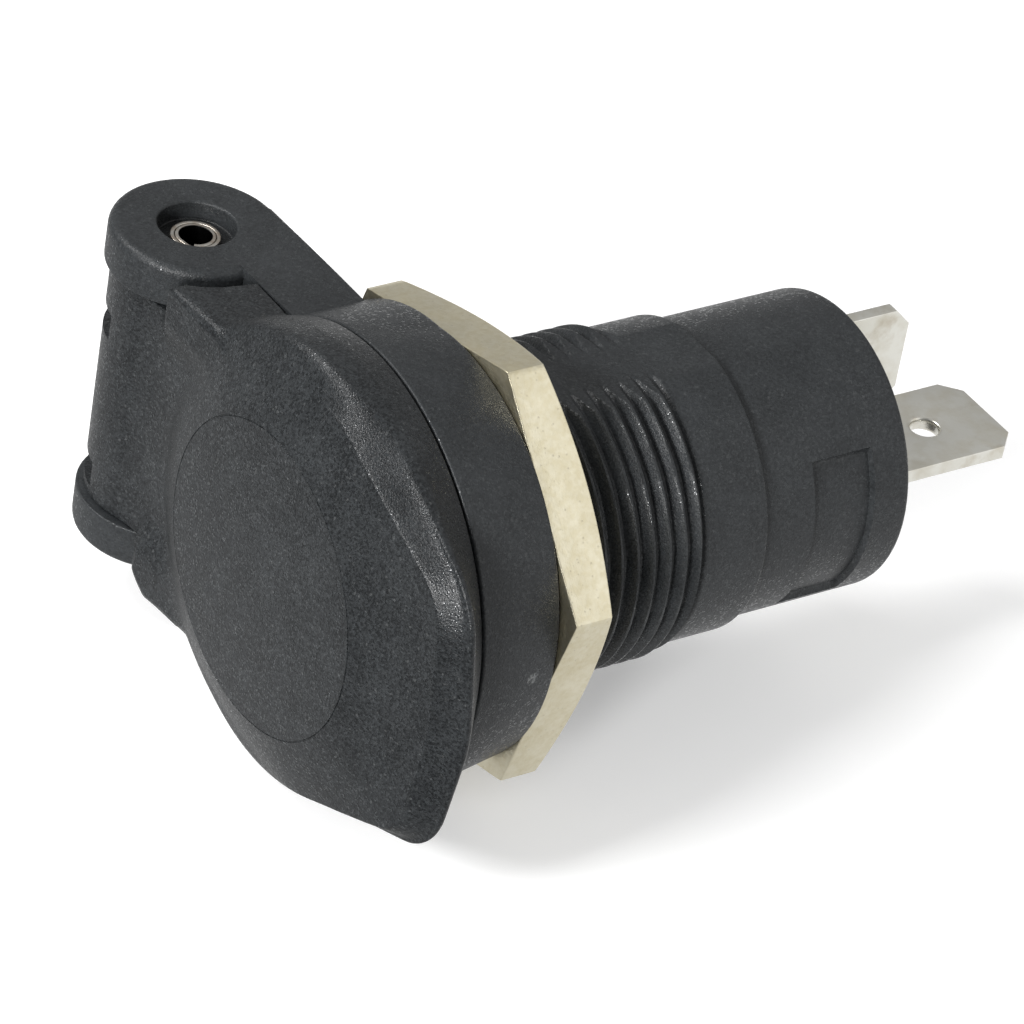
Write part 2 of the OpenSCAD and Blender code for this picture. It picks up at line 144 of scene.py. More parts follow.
class Finish(Graph):  # one material; its patterns are read in mm from the piece's own place
    def __init__(self, name, roughness, metallic=0.0):
        self.material = bpy.data.materials.new(name)
        super().__init__(self.material, "Material")
        self.surface = self.tree.nodes.new("ShaderNodeBsdfPrincipled")
        self.tree.links.new(self.surface.outputs[0], self.output.inputs[0])
        self.feed(self.surface, {"Roughness": roughness, "Metallic": metallic})
        place = self.node("TexCoord", {}, {}, "Object")
        self.place = self.node("Mapping", {}, {"Vector": place, "Scale": (1 / mm,) * 3})

    def noise(self, scale, detail=2.0, place=None):
        return self.node("TexNoise", {}, {"Vector": place or self.place, "Scale": scale,
                                          "Detail": detail, "Roughness": 0.55})

    def stretched(self, scale, detail, stretch):
        place = self.node("VectorMath", {"operation": "MULTIPLY"}, {0: self.place, 1: stretch})
        return self.noise(scale, detail, place)

    def cells(self, scale, out="Distance"):
        return self.node("TexVoronoi", {"feature": "F1"},
                         {"Vector": self.place, "Scale": scale}, out)

    def ramp(self, wire, *stops):
        return self.node("ValToRGB", {"stops": stops}, {0: wire})

    def blend(self, factor, first, second):  # colours
        return self.node("Mix", {"data_type": "RGBA"}, {0: factor, 6: first, 7: second}, 2)

    def bump(self, height, distance, strength=1.0, under=None):
        sockets = {"Height": height, "Distance": distance * mm, "Strength": strength}
        if under is not None:
            sockets["Normal"] = under
        return self.node("Bump", {}, sockets)

    def away(self, centre, keep):  # distance from a point, or from an axis or plane, in mm
        apart = self.node("VectorMath", {"operation": "SUBTRACT"}, {0: self.place, 1: centre})
        apart = self.node("VectorMath", {"operation": "MULTIPLY"}, {0: apart, 1: keep})
        return self.node("VectorMath", {"operation": "LENGTH"}, {0: apart}, "Value")

    def show(self, **sockets):
        self.feed(self.surface, {key.replace("_", " "): value for key, value in sockets.items()})
        return self.material


def tone(red, green, blue):
    return (red, green, blue, 1.0)


plasticLook = {
    "dark": tone(0.0060, 0.0068, 0.0075),
    "light": tone(0.0460, 0.0500, 0.0530),
    "fleck": tone(0.17, 0.175, 0.175),
    "shade": tone(0.002, 0.002, 0.002),  # painted shade inside the ears' counterbores
    # patterns per mm
    "grainScale": 9.5, "fleckScale": 8.0, "dustScale": 3.2, "cloudScale": 0.35, "waveScale": 0.9,
    # roughness, depth of the grain in mm, contrast and level of its colour
    "housing": (0.43, 0.016, 0.30, 0.28),
    # the lid's colour level is lower than the housing's to offset the stronger lamp light on its
    # dome: painted shade
    "lid": (0.35, 0.022, 0.45, 0.14),
    "cloudLight": 0.16, "dustLight": 0.06, "fleckLight": 0.30, "scuffLight": 0.8,  # shares
    "counterboreShade": 0.75,
    "mirror": 0.28,
    "glossyGrain": 0.12,  # roughness of the grains that sparkle
    "pinHole": (-17.4, -5.4, 0), "counterbore": (2.05, 2.12), "counterboreFloor": (8.5, 8.7),  # mm
    "scuff": (12.2, -1.46, -0.35), "scuffSize": 0.42, "scuffSoft": 0.08, "scuffWander": 0.25,  # mm
    "waveDepth": 0.02,  # mm
}


def grainedPlastic(name, look):  # spark-eroded grain: sharp cells, each of its own tone
    roughness, depth, contrast, level = look
    finish = Finish(name, roughness)
    grain = finish.noise(plasticLook["grainScale"])
    spark = finish.cells(plasticLook["grainScale"])
    tones = finish.cells(plasticLook["grainScale"], "Color")
    sand = finish.ramp(tones, (0.15, 0.0), (0.90, 1.0))
    glint = finish.ramp(tones, (0.74, 0.0), (0.80, 1.0))
    cloud = finish.ramp(finish.noise(plasticLook["cloudScale"], 4.0), (0.35, 0.0), (0.7, 1.0))
    dust = finish.ramp(finish.noise(plasticLook["dustScale"]), (0.62, 0.0), (0.74, 1.0))
    fleck = finish.ramp(finish.cells(plasticLook["fleckScale"], "Color"), (0.88, 0.0), (0.92, 1.0))
    mixed = contrast * (sand - 0.5) + cloud * plasticLook["cloudLight"] + level
    colour = finish.blend(mixed, plasticLook["dark"], plasticLook["light"])
    specks = dust * plasticLook["dustLight"] + fleck * plasticLook["fleckLight"] * contrast
    colour = finish.blend(specks, colour, plasticLook["fleck"])
    # painted shade: the counterbores round the pin's hole are darkened, where shade falls in them
    hollow = finish.step(finish.away(plasticLook["pinHole"], (1, 1, 0)),
                         *plasticLook["counterbore"], 1.0, 0.0)
    deep = finish.step(finish.away((0, 0, 0), (0, 0, 1)), *plasticLook["counterboreFloor"])
    colour = finish.blend(hollow * deep * plasticLook["counterboreShade"], colour, plasticLook["shade"])
    wander = plasticLook["scuffWander"] * (finish.noise(2.5, 3.0) - 0.5)
    scuff = finish.away(plasticLook["scuff"], (1, 1, 1)) + wander
    scuffEdge = plasticLook["scuffSize"]
    scuff = finish.step(scuff, scuffEdge - plasticLook["scuffSoft"], scuffEdge, 1.0, 0.0)
    scuff = scuff * finish.ramp(finish.noise(4.5), (0.44, 0.0), (0.60, 1.0))
    colour = finish.blend(scuff * plasticLook["scuffLight"], colour, plasticLook["fleck"])
    rough = finish.node("Mix", {}, {0: glint, 2: roughness + 0.06 * cloud,
                                    3: plasticLook["glossyGrain"]})
    broad = finish.bump(finish.noise(plasticLook["waveScale"]), plasticLook["waveDepth"], 0.5)
    fine = finish.bump(grain * 0.5 + spark * 0.9 - scuff * 2.0, depth, 1.0, broad)
    return finish.show(Base_Color=colour, Roughness=rough, Normal=fine,
                       Specular_IOR_Level=plasticLook["mirror"])


nickelLook = {
    "pale": tone(0.75, 0.70, 0.54),
    "warm": tone(0.63, 0.56, 0.37),
    "pit": tone(0.25, 0.22, 0.17),
    "cloudShare": 0.4, "mottleShare": 0.4, "pitShare": 0.25,
    "roughness": 0.24, "speckRough": 0.18, "cloudRough": 0.10,
    "pitDepth": 0.014,  # mm
}


def satinNickel(name):  # plated brass: fine pitting, a faint warm cloud and turning marks
    finish = Finish(name, nickelLook["roughness"], 1.0)
    cloud = finish.ramp(finish.noise(0.7, 3.0), (0.35, 0.0), (0.75, 1.0))
    speck = finish.noise(6.0, 3.0)
    pits = finish.ramp(finish.cells(2.2), (0.05, 1.0), (0.16, 0.0))
    lines = finish.stretched(2.0, 2.0, (1.0, 9.0, 1.0))
    mottle = finish.ramp(finish.noise(2.6, 4.0), (0.40, 0.0), (0.62, 1.0))
    warmth = cloud * nickelLook["cloudShare"] + mottle * nickelLook["mottleShare"]
    colour = finish.blend(warmth, nickelLook["pale"], nickelLook["warm"])
    colour = finish.blend(pits * nickelLook["pitShare"], colour, nickelLook["pit"])
    rough = (nickelLook["roughness"] + nickelLook["speckRough"] * speck
             + nickelLook["cloudRough"] * cloud)
    bump = finish.bump(speck * 0.7 + mottle * 0.5 + lines * 0.4 - pits * 0.6,
                       nickelLook["pitDepth"], 0.9)
    return finish.show(Base_Color=colour, Roughness=rough, Normal=bump)


tinLook = {
    "pale": tone(0.76, 0.75, 0.69), "dull": tone(0.66, 0.63, 0.54), "worn": tone(0.42, 0.35, 0.24),
    "dullShare": 0.8, "wornShare": 0.45,
    "roughness": 0.26, "patchRough": 0.12, "scratchRough": 0.14,
    "scratchDepth": 0.008,  # mm
    "alongBlade": (4.0, 0.5, 4.0), "alongSleeve": (1.0, 1.0, 1.0),  # scratches per mm: x, y, z
}


def tinPlate(name, along):  # scratches along the strip, dull patches and darker worn spots
    finish = Finish(name, tinLook["roughness"], 1.0)
    patch = finish.ramp(finish.noise(0.8, 4.0), (0.42, 0.0), (0.68, 1.0))
    stain = finish.ramp(finish.noise(0.45, 5.0), (0.60, 0.0), (0.72, 1.0))
    scratch = finish.stretched(3.0, 3.0, along)
    fine = finish.noise(9.0, 2.0)
    colour = finish.blend(patch * tinLook["dullShare"], tinLook["pale"], tinLook["dull"])
    colour = finish.blend(stain * tinLook["wornShare"], colour, tinLook["worn"])
    rough = tinLook["roughness"] + tinLook["patchRough"] * patch + tinLook["scratchRough"] * scratch
    bump = finish.bump(scratch * 0.7 + fine * 0.3, tinLook["scratchDepth"], 0.7)
    return finish.show(Base_Color=colour, Roughness=rough, Normal=bump)


steelLook = {
    "pin": (tone(0.52, 0.50, 0.46), tone(0.30, 0.21, 0.13), 0.30),  # bare, tinted, roughness
    "spring": (tone(0.55, 0.55, 0.56), tone(0.42, 0.38, 0.32), 0.26),
    # the black tone is painted shade inside the rolled pin's hollow, within the radius that follows
    # it
    "black": tone(0.01, 0.01, 0.01), "pinHollowShade": 0.90, "hollowEdge": 0.04,  # mm
    "drawnRough": 0.15, "drawnDepth": 0.008,  # mm
}


def wireSteel(name, look, hollow=0.0):
    # drawn wire or rolled strip with a straw-coloured tint; painted shade, black, inside a pin's
    # hollow
    pale, warm, roughness = look
    finish = Finish(name, roughness, 1.0)
    tint = finish.ramp(finish.noise(1.6, 3.0), (0.40, 0.0), (0.70, 1.0))
    drawn = finish.stretched(6.0, 2.0, (1.0, 1.0, 0.2))
    colour = finish.blend(tint * 0.7, pale, warm)
    if hollow:
        # painted shade: black inside the pin's hollow
        away = finish.away(plasticLook["pinHole"], (1, 1, 0))
        outside = finish.step(away, hollow, hollow + steelLook["hollowEdge"])
        colour = finish.blend(outside, steelLook["black"], colour)
    bump = finish.bump(drawn, steelLook["drawnDepth"], 0.7)
    rough = roughness + steelLook["drawnRough"] * drawn
    return finish.show(Base_Color=colour, Roughness=rough, Normal=bump)


brassLook = {
    "bright": tone(0.72, 0.54, 0.26), "brown": tone(0.36, 0.22, 0.09),
    "roughness": 0.24, "ringRough": 0.2,
    "ringDepth": 0.012,  # mm
}


def turnedBrass(name):  # turned brass: close rings round the axis and brown spots
    finish = Finish(name, brassLook["roughness"], 1.0)
    rings = finish.stretched(3.0, 1.0, (0.3, 8.0, 0.3))
    spots = finish.ramp(finish.noise(1.3, 4.0), (0.52, 0.0), (0.74, 1.0))
    colour = finish.blend(spots * 0.6, brassLook["bright"], brassLook["brown"])
    rough = brassLook["roughness"] + brassLook["ringRough"] * rings
    bump = finish.bump(rings, brassLook["ringDepth"], 0.8)
    return finish.show(Base_Color=colour, Roughness=rough, Normal=bump)


phenolicLook = {
    "resin": tone(0.13, 0.055, 0.022), "fibre": tone(0.24, 0.12, 0.055),
    "roughness": 0.36, "speckRough": 0.2,
    "speckDepth": 0.02,  # mm
}


def mouldedPhenolic(name):  # brown filled moulding: short fibres and a slight gloss
    finish = Finish(name, phenolicLook["roughness"])
    fibre = finish.ramp(finish.stretched(2.4, 4.0, (1.0, 3.0, 1.0)), (0.42, 0.0), (0.62, 1.0))
    speck = finish.noise(5.0, 3.0)
    colour = finish.blend(fibre, phenolicLook["resin"], phenolicLook["fibre"])
    rough = phenolicLook["roughness"] + phenolicLook["speckRough"] * speck
    bump = finish.bump(speck * 0.5 + fibre * 0.3, phenolicLook["speckDepth"], 0.7)
    return finish.show(Base_Color=colour, Roughness=rough, Normal=bump)


rubberLook = {
    "black": tone(0.012, 0.012, 0.012), "bloom": tone(0.05, 0.05, 0.048),
    "roughness": 0.62, "bloomRough": 0.2,
    "poreDepth": 0.02,  # mm
}


def sealRubber(name):  # soft black rubber with a dusty bloom
    finish = Finish(name, rubberLook["roughness"])
    bloom = finish.ramp(finish.noise(1.1, 4.0), (0.45, 0.0), (0.75, 1.0))
    pores = finish.cells(6.0)
    colour = finish.blend(bloom * 0.5, rubberLook["black"], rubberLook["bloom"])
    rough = rubberLook["roughness"] + rubberLook["bloomRough"] * bloom
    bump = finish.bump(pores, rubberLook["poreDepth"], 0.6)
    return finish.show(Base_Color=colour, Roughness=rough, Normal=bump)


housingPlastic = grainedPlastic("housing plastic", plasticLook["housing"])
lidPlastic = grainedPlastic("lid plastic", plasticLook["lid"])
nutNickel = satinNickel("satin nickel")
bladeTin = tinPlate("tin plate along the axis", tinLook["alongBlade"])
sleeveTin = tinPlate("tin plate of the sleeve", tinLook["alongSleeve"])
pinSteel = wireSteel("pin steel", steelLook["pin"], steelLook["pinHollowShade"])
springSteel = wireSteel("spring steel", steelLook["spring"])
brass = turnedBrass("turned brass")
phenolic = mouldedPhenolic("moulded phenolic")
rubber = sealRubber("seal rubber")
print("finishes made")


# shapes on grids
def softCorners(points, cuts, steps=4):
    # a closed profile: each corner becomes a quadratic curve between the points that lie
    # its cut's length before and after it; a cut of zero keeps the corner
    count = max(np.size(value) for point in points for value in point)
    line = np.array([[np.broadcast_to(value, count) for value in point] for point in points], float)
    rows = []
    for i, cut in enumerate(cuts):
        corner = line[i]
        if np.all(np.asarray(cut) == 0):
            rows.append(corner)
            continue
        sides = []
        for other in (line[i - 1], line[(i + 1) % len(line)]):
            step = other - corner
            length = np.maximum(np.hypot(*step), 1e-9)
            sides.append(corner + step / length * np.minimum(cut, 0.46 * length))
        for t in np.linspace(0, 1, steps + 1):
            rows.append((1 - t) ** 2 * sides[0] + 2 * t * (1 - t) * corner + t ** 2 * sides[1])
    rows = np.array(rows)
    return rows[:, 0], rows[:, 1]


def roundAxis(rho, height, angle, centre, first, second, axis):
    # point = centre + rho cos(angle) first + rho sin(angle) second + height axis
    first, second, axis, centre = (np.array(v, float) for v in (first, second, axis, centre))
    return (centre + (rho * np.cos(angle))[..., None] * first
            + (rho * np.sin(angle))[..., None] * second + height[..., None] * axis)


def starRadius(corners, angle):
    # distance from the middle to a polygon's side in each direction, which is
    # corner x side / direction x side
    corners = np.array(corners, float)
    bearing = np.arctan2(corners[:, 1], corners[:, 0])
    order = np.argsort(bearing)
    corners, bearing = corners[order], bearing[order]
    turn = (angle - bearing[0]) % (2 * np.pi) + bearing[0]
    at = np.searchsorted(bearing, turn, side="right") - 1
    start, end = corners[at], corners[(at + 1) % len(corners)]
    side = end - start
    ray = np.stack([np.cos(angle), np.sin(angle)], axis=-1)
    return (start[:, 0] * side[:, 1] - start[:, 1] * side[:, 0]) / (ray[:, 0] * side[:, 1]
                                                                   - ray[:, 1] * side[:, 0])


def bearings(count, *extra):  # even angles with a pair close on both sides of each extra one
    close = np.radians(0.02)
    even = np.linspace(-np.pi, np.pi, count, endpoint=False)
    pairs = np.array([np.radians(a) + s for a in extra for s in (-close, close)])
    return np.unique(np.round((np.concatenate([even, pairs]) + np.pi) % (2 * np.pi) - np.pi, 6))


def smoothStep(value, start, end):
    t = np.clip((value - start) / (end - start), 0, 1)
    return t * t * (3 - 2 * t)


def sweep(path, radius, sides=12):
    # circle of the radius carried along the path, square to its tangent
    tangent = np.gradient(path, axis=0)
    tangent /= np.linalg.norm(tangent, axis=1)[:, None]
    across = np.cross(tangent, (0.0, 0.0, 1.0))
    across /= np.maximum(np.linalg.norm(across, axis=1)[:, None], 1e-9)
    other = np.cross(tangent, across)
    angle = np.linspace(0, 2 * np.pi, sides, endpoint=False)[:, None, None]
    return path + radius * (np.cos(angle) * across + np.sin(angle) * other)


def fan(ring):  # a closed ring filled to its middle
    return np.stack([ring, np.broadcast_to(ring.mean(axis=0), ring.shape)])


def closedEnds(grid):  # a tube with both of its ends filled
    return [(grid, True, False), (fan(grid[:, 0]), False, True), (fan(grid[:, -1]), False, True)]


weld = {"near": 0.0015, "short": 0.0002}  # mm: points joined, edges dissolved


def makePiece(name, patches, material, body, stands, sharp=40):
    # patches: (grid of points, rows close, columns close); joined, welded and turned outwards
    points, faces, offset = [], [], 0
    for grid, rowsClose, columnsClose in patches:
        index = offset + np.arange(grid.shape[0] * grid.shape[1]).reshape(grid.shape[:2])
        offset += index.size
        if rowsClose:
            index = np.vstack([index, index[:1]])
        if columnsClose:
            index = np.hstack([index, index[:, :1]])
        quads = np.stack([index[:-1, :-1], index[1:, :-1], index[1:, 1:], index[:-1, 1:]], axis=-1)
        faces.append(quads.reshape(-1, 4))
        points.append(grid.reshape(-1, 3))
    mesh = bpy.data.meshes.new(name)
    mesh.from_pydata((np.vstack(points) * mm).tolist(), [], np.vstack(faces).tolist())
    work = bmesh.new()
    work.from_mesh(mesh)
    bmesh.ops.remove_doubles(work, verts=work.verts, dist=weld["near"] * mm)
    bmesh.ops.dissolve_degenerate(work, edges=work.edges, dist=weld["short"] * mm)
    bmesh.ops.recalc_face_normals(work, faces=work.faces)
    work.to_mesh(mesh)
    work.free()
    mesh.shade_smooth()
    mesh.set_sharp_from_angle(angle=math.radians(sharp))
    mesh.materials.append(material)
    piece = bpy.data.objects.new(name, mesh)
    bpy.context.scene.collection.objects.link(piece)
    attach(piece, body)
    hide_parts(*stands)
    print("piece:", name, len(mesh.polygons), "faces")
    return piece


# housing
housingSize = {
    "steps": 360,
    "flangeFront": 12.6, "flangeRear": 11.85, "flangeThick": 5.1,
    "flangeSwell": 1.6, "swellRadius": 11.65, "flangeRound": 0.2,
    "threadRadius": 9.0, "threadDepth": 0.58, "pitch": 1.0, "threadEnd": 10.8, "threadRelief": 1.5,
    "crestHalf": 0.07, "threadAngle": 60, "runIn": 0.6, "runOut": 0.35,
    "flat": 8.35,
    "collarRadius": 8.6, "collarEnd": 15.3, "collarEdge": 0.2, "collarGap": 0.35,
    "rearRadius": 8.2, "rearFrom": 15.7, "rearTo": 23.9, "length": 24.8, "rimRound": 0.6,
    "recessFrom": 18.6, "recessTo": 22.4, "recessLow": -38.0, "recessHigh": 32.0,
    "recessDepth": 0.35, "recessWall": 0.06,
    "boreRadius": 7.15, "lipRadius": 6.3, "lipBack": -4.3, "lipChamfer": 0.6,
    "capRadius": 7.47, "capFront": 22.8,
}
hingeSize = {
    "x": -17.4, "y": -5.4, "steps": 180,
    "earRadius": 4.65, "earOut": 9.7, "earIn": 7.3, "earRound": 0.6, "armRound": 0.25,
    "roundFrom": -50, "roundFade": (60, 150),  # degrees: far from the arm the round is larger
    "innerRound": 0.12, "armEndRound": 0.05, "counterboreRound": 0.16,
    "pinHole": 1.37, "counterbore": 2.1, "counterboreDepth": 1.1,
    "armReach": 11.4, "armRear": 4.72, "armFront": 0.42,
}


def roundSocket(rho, height, angle, along=1):
    return roundAxis(rho, height, angle, (0, 0, 0), (1, 0, 0), (0, 0, 1), (0, along, 0))


def roundHinge(rho, height, angle):
    return roundAxis(rho, height, angle, (hingeSize["x"], hingeSize["y"], 0),
                     (1, 0, 0), (0, 1, 0), (0, 0, 1))


def threadRadius(angle, y, size, clear=0.0):
    # ridge of the 60 degree form on a helix: its height falls with the distance from the crest,
    # and it runs out at both ends
    phase = (y - size["threadEnd"]) / size["pitch"] + angle / (2 * np.pi)
    distance = np.abs(phase - np.round(phase)) * size["pitch"]
    slope = math.tan(math.radians(size["threadAngle"]))
    drop = np.clip((distance - size["crestHalf"]) * slope, 0, size["threadDepth"])
    height = size["threadDepth"] - drop
    end = size["threadEnd"] - 0.1
    fade = smoothStep(y, size["threadRelief"] - size["runIn"], size["threadRelief"]) * (
        1 - smoothStep(y, end, end + size["runOut"]))
    return size["threadRadius"] - size["threadDepth"] + height * fade + clear


def housingBody(size):
    angle = bearings(size["steps"])
    root = size["threadRadius"] - size["threadDepth"]
    front, lip = -size["flangeThick"], size["lipRadius"]
    # the flange's rear edge is a circle joined by a second one that lies nearer to the hinge
    swell = size["flangeSwell"]
    hingeSide = -swell * np.cos(angle) + np.sqrt(
        size["swellRadius"] ** 2 - (swell * np.sin(angle)) ** 2)
    flangeRear = np.maximum(size["flangeRear"], hingeSide)
    flangeRows = softCorners([(lip, size["lipBack"]), (lip, front + size["lipChamfer"]),
                              (lip + size["lipChamfer"], front), (size["flangeFront"], front),
                              (flangeRear, 0.0), (root, 0.0)],
                             [0, 0.1, 0.1, size["flangeRound"], size["flangeRound"], 0])
    threadY = np.arange(0.06, size["threadEnd"] + 0.3, size["pitch"] / 13)
    threadRows = threadRadius(angle[None, :], threadY[:, None], size)
    edge = size["collarEdge"]
    collarStart = size["threadEnd"] + size["collarGap"]
    collarRows = softCorners([(root, collarStart), (size["collarRadius"], collarStart + edge),
                              (size["collarRadius"], size["collarEnd"] - 0.5 * edge),
                              (size["rearRadius"], size["collarEnd"] + 0.5 * edge)],
                             [0, 0.12, 0.12, 0])
    wall = size["recessWall"]
    recessY = np.array([size["rearFrom"], size["recessFrom"] - wall, size["recessFrom"] + wall,
                        size["recessTo"] - wall, size["recessTo"] + wall, size["rearTo"] - 0.5])
    degrees = np.degrees(angle)
    across = smoothStep(degrees, size["recessLow"] - 0.8, size["recessLow"] + 0.4) * (
        1 - smoothStep(degrees, size["recessHigh"] - 0.4, size["recessHigh"] + 0.8))
    along = np.array([0, 0, 1, 1, 0, 0])[:, None]
    recessRows = size["rearRadius"] - size["recessDepth"] * along * across[None, :]
    rear, cap, bore = size["rearRadius"], size["capRadius"], size["boreRadius"]
    endRows = softCorners([(rear, size["rearTo"]), (rear, size["length"]),
                           (cap, size["length"]), (cap, size["capFront"]),
                           (bore, size["capFront"]), (bore, size["lipBack"]),
                           (lip, size["lipBack"])],
                          [0, size["rimRound"], 0.1, 0.05, 0, 0, 0], 6)

    def wide(rows):
        return [np.broadcast_to(row, (len(row), len(angle))) for row in rows]

    def level(y, rows):
        return rows, np.broadcast_to(y[:, None], rows.shape)

    radius, height = zip(wide(flangeRows), level(threadY, threadRows), wide(collarRows),
                         level(recessY, recessRows), wide(endRows))
    radius, height = np.vstack(radius), np.vstack(height)
    flats = size["flat"] / np.maximum(np.abs(np.sin(angle)), 0.05)[None, :]
    onBarrel = (height > 0.03) & (height < size["collarEnd"] + 0.15) & (radius > bore + 0.2)
    radius = np.where(onBarrel, np.minimum(radius, flats), radius)
    return roundSocket(radius, height, angle)


def ear(size, side):
    # disc about the pin with an arm to the flange: the outline is the farther of the two
    arm = [(size["armReach"], size["armFront"]), (size["armReach"], size["armRear"]),
           (0.0, size["armRear"]), (-1.0, 0.0), (0.0, -0.5)]
    frontBearing = math.degrees(math.atan2(size["armFront"], size["armReach"]))
    rearBearing = math.degrees(math.atan2(size["armRear"], size["armReach"]))
    angle = bearings(size["steps"], frontBearing, rearBearing)
    degrees = np.degrees(angle)
    isArm = (degrees > frontBearing) & (degrees < 90)
    outline = np.where(isArm, np.maximum(starRadius(arm, angle), size["earRadius"]),
                       size["earRadius"])
    soft = size["armRound"] + (size["earRound"] - size["armRound"]) * smoothStep(
        np.abs(degrees - size["roundFrom"]), *size["roundFade"])
    soft = np.where(degrees < frontBearing, size["earRound"], soft)
    soft = np.where((degrees > frontBearing) & (degrees < rearBearing), size["armEndRound"], soft)
    hole, counterbore, outer = size["pinHole"], size["counterbore"], size["earOut"]
    deep = outer - size["counterboreDepth"]
    radius, height = softCorners(
        [(hole, size["earIn"]), (outline, size["earIn"]), (outline, outer),
         (counterbore, outer), (counterbore, deep), (hole, deep)],
        [0, size["innerRound"], soft, size["counterboreRound"], 0.1, 0.05], 6)
    return roundHinge(radius, side * height, angle)


makePiece("housingMoulding",
          [(housingBody(housingSize), True, True), (ear(hingeSize, 1), True, True),
           (ear(hingeSize, -1), True, True)],
          housingPlastic, "socket", ["housing"], 35)

# lid
lidSize = {
    "steps": 400, "slopeSteps": 26, "crownSteps": 12,
    # x, z and radius: the disc, the tab's two corners and its middle
    "circles": [(0.0, 0.0, 13.0), (10.4, 4.6, 4.6), (10.4, -4.6, 4.6), (7.8, 0.0, 8.0)],
    "ring": 8.53, "ringHeight": 10.58, "crown": 0.35, "grooveHalf": 0.045, "grooveDepth": 0.06,
    "tabFade": (28.0, 66.0),  # degrees over which the tab's values give way to the round side's
    "roundBend": 0.20, "tabBend": -0.35,  # convex on the round side, hollow before the tab
    # the ridge that ends the dome and the foot of the bevel beyond it: degrees from the tab's
    # middle, distance in from the edge, height
    "ridge": [(0, 1.9, 8.93), (15, 1.7, 8.95), (25, 1.3, 9.00), (35, 1.1, 9.16), (46, 1.0, 9.26),
              (70, 1.0, 9.32), (88, 1.5, 9.28), (180, 1.6, 9.28)],
    "bevel": [(0, 0.30, 8.10), (20, 0.34, 8.06), (37, 0.36, 8.02), (50, 0.34, 8.02),
              (65, 0.30, 8.10), (85, 0.12, 8.65), (100, 0.0, 8.78), (180, 0.0, 8.78)],
    "bevelRound": ((40, 70, 90), (0.4, 0.6, 1.5)),  # degrees from the tab's middle, rounding there
    "ridgeRound": (0.55, 0.35), "lipTop": (7.5, 8.00), "lipLow": (6.9, 7.72),  # round side, tab
    "lipRound": 0.22, "seam": 5.26, "foot": 12.63, "footRound": 0.12,
    "plateHalf": 9.7, "plateEnd": 12.95, "plateHeight": 9.7, "plateSlope": 0.083,
    "cornerCut": (0.22, 0.8),  # on the side towards the camera and on the other
    "plateFade": (-3.0, 1.0), "weightFade": 22,  # degrees from the plate's start
    "joinSoft": 0.06, "earJoinSoft": 0.26,  # mm2, larger is a softer foot of the plate
    "plateRound": 0.3, "edgeSoft": 0.8, "plateSoft": 0.3, "earSoft": 0.2,
    "webHalf": 7.16, "webEnd": 16.4, "webReach": 4.2, "webRear": 8.2,
    "valleyX": 13.3, "valley": 8.90, "valleyBend": 0.065, "shoulderZ": (5.0, 7.6),
    "earClear": 5.95, "seal": 8.22, "sealDeep": 6.46,
    "hollow": 7.0, "hollowHeight": 9.0, "hollowChamfer": 0.4,
}
knuckleSize = {
    "steps": 240, "stepsAlong": 40,
    "radius": 4.25, "half": 7.18, "bore": 1.40, "endRound": 0.18, "boreSkin": 0.02,
    "web": [(0.0, -4.25), (1.5, -3.9), (3.2, -3.3), (6.4, -2.8), (6.4, 0.14), (0.0, 0.14),
            (-1.0, -1.0)],
    "windows": [(-6.55, -5.05), (2.95, 4.45)], "windowLow": 90.0, "windowHigh": 262.0,
    "slot": (-6.55, 4.45), "slotLow": 52.4, "slotHigh": 127.6,
}


def hullRadius(circles, angle):
    # hull of circles: nearest of its supporting lines, support = max(centre . normal + radius)
    normal = np.linspace(-np.pi, np.pi, 2880, endpoint=False)
    support = np.max([x * np.cos(normal) + z * np.sin(normal) + r for x, z, r in circles], axis=0)
    facing = np.cos(normal[:, None] - angle[None, :])
    return np.min(np.where(facing > 0.05, support[:, None] / np.maximum(facing, 0.05), 1e3), axis=0)


